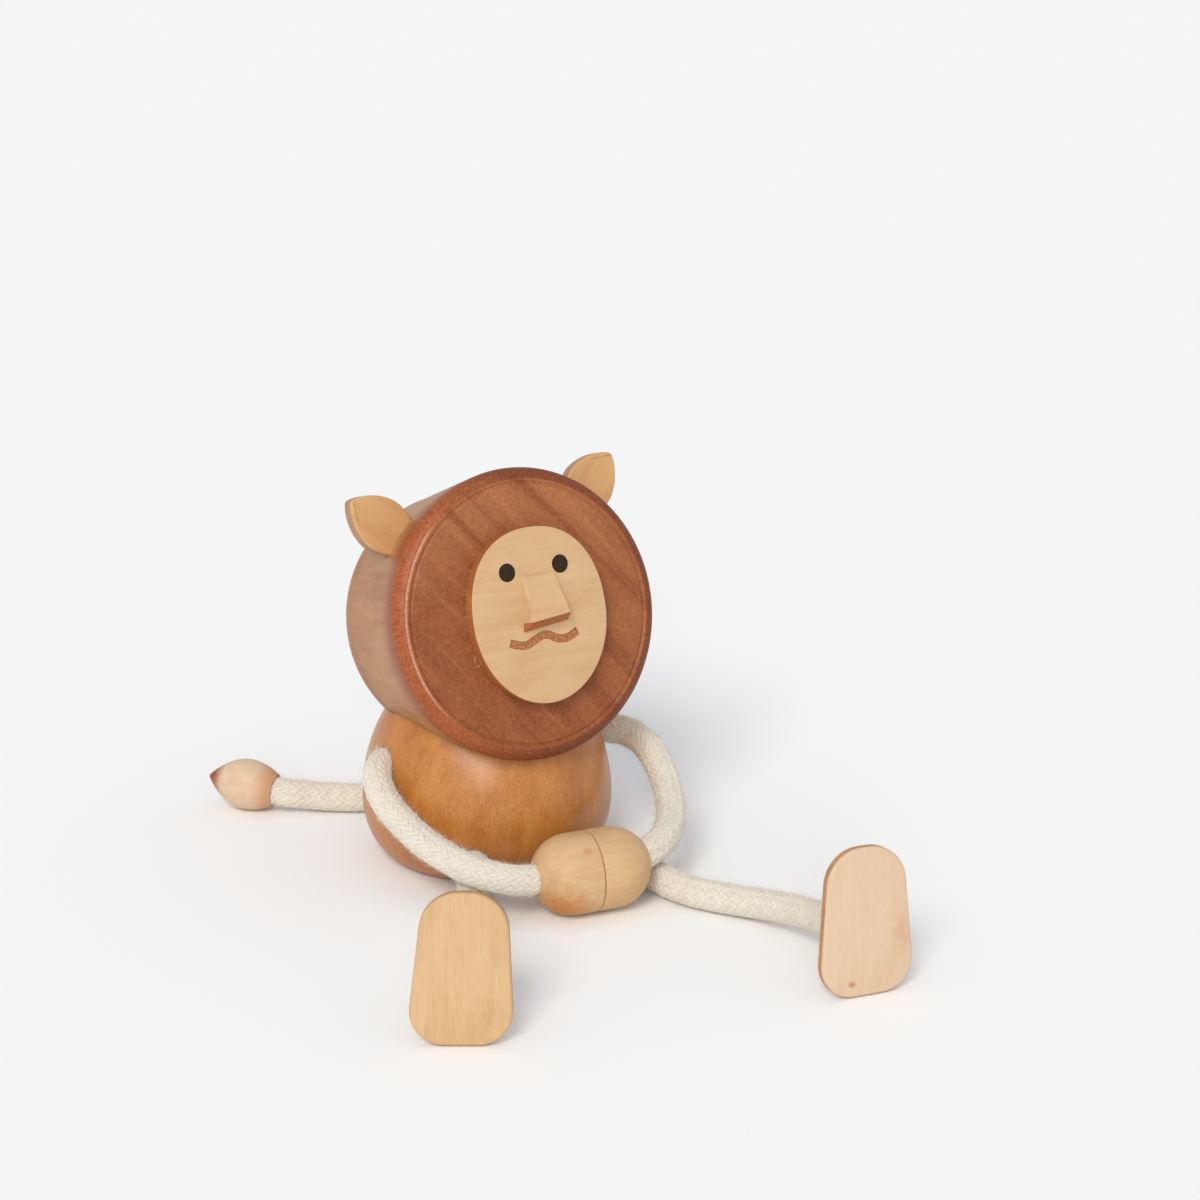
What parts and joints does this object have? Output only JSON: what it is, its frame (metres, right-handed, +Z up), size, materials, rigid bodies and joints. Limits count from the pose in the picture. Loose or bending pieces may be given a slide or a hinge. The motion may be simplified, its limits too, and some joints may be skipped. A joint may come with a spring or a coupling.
{
  "type": "toy lion",
  "caption": "Seated wooden toy lion: egg-shaped torso on a flat seat, drum head with an oval face plate that turns on the neck, leaf ears, and rope arms, legs and tail with wooden ends.",
  "frame": {"origin": "middle of the torso's flat seat, on the floor", "axes": "+Z up along the torso's axis, -Y towards the front that the figure faces before its head is turned, +X to the viewer's right"},
  "size_m": [0.0973, 0.142, 0.0846],
  "materials": {
    "oiled_maple": "orange-brown oiled wood, satin",
    "stained_maple": "red-brown stained wood, polished",
    "pale_maple": "pale bare wood, fine sanded",
    "tan_maple": "tan oiled wood, satin",
    "dowel_beech": "plain dowel",
    "dark_plug": "dark brown, matte",
    "cotton_rope": "off-white braided cotton",
    "nickel_magnet": "nickel-plated disc"
  },
  "bodies": {
    "torso": {"torso": "oiled_maple", "neck_dowel": "dowel_beech"},
    "head": {"head": "stained_maple", "face_plate": "pale_maple", "nose": "pale_maple", "eye_left": "dark_plug", "eye_right": "dark_plug", "ear_left": "tan_maple", "ear_right": "tan_maple"},
    "arm_left": {"arm_rope_left": "cotton_rope", "hand_left": "pale_maple", "hand_magnet_left": "nickel_magnet"},
    "arm_right": {"arm_rope_right": "cotton_rope", "hand_right": "pale_maple", "hand_magnet_right": "nickel_magnet"},
    "leg_left": {"leg_rope_left": "cotton_rope", "foot_left": "pale_maple"},
    "leg_right": {"leg_rope_right": "cotton_rope", "foot_right": "pale_maple"},
    "tail": {"tail_rope": "cotton_rope", "tail_bead": "pale_maple"}
  },
  "joints": [
    {"name": "head_turn", "type": "hinge", "parent": "torso", "child": "head", "pos_m": [0, 0, 0.034], "axis": [0, 0, 1], "range_deg": [-60, 60]},
    {"name": "arm_left_swing", "type": "hinge", "parent": "torso", "child": "arm_left", "pos_m": [-0.0239, -0.0034, 0.0235], "axis": [-0.685, -0.246, -0.6857], "range_deg": [0, 70], "deforming": ["arm_rope_left"]},
    {"name": "arm_right_swing", "type": "hinge", "parent": "torso", "child": "arm_right", "pos_m": [0.0243, 0.0002, 0.0228], "axis": [-0.9507, 0, 0.3102], "range_deg": [0, 70], "deforming": ["arm_rope_right"]},
    {"name": "leg_left_swing", "type": "hinge", "parent": "torso", "child": "leg_left", "pos_m": [-0.0109, -0.0214, 0.007], "axis": [0, 0, 1], "range_deg": [-50, 12], "deforming": ["leg_rope_left"]},
    {"name": "leg_right_swing", "type": "hinge", "parent": "torso", "child": "leg_right", "pos_m": [0.0109, -0.0214, 0.007], "axis": [0, 0, 1], "range_deg": [0, 50], "deforming": ["leg_rope_right"]},
    {"name": "tail_swing", "type": "hinge", "parent": "torso", "child": "tail", "pos_m": [-0.0078, 0.0232, 0.0053], "axis": [0, 0, 1], "range_deg": [-40, 40], "deforming": ["tail_rope"]}
  ]
}
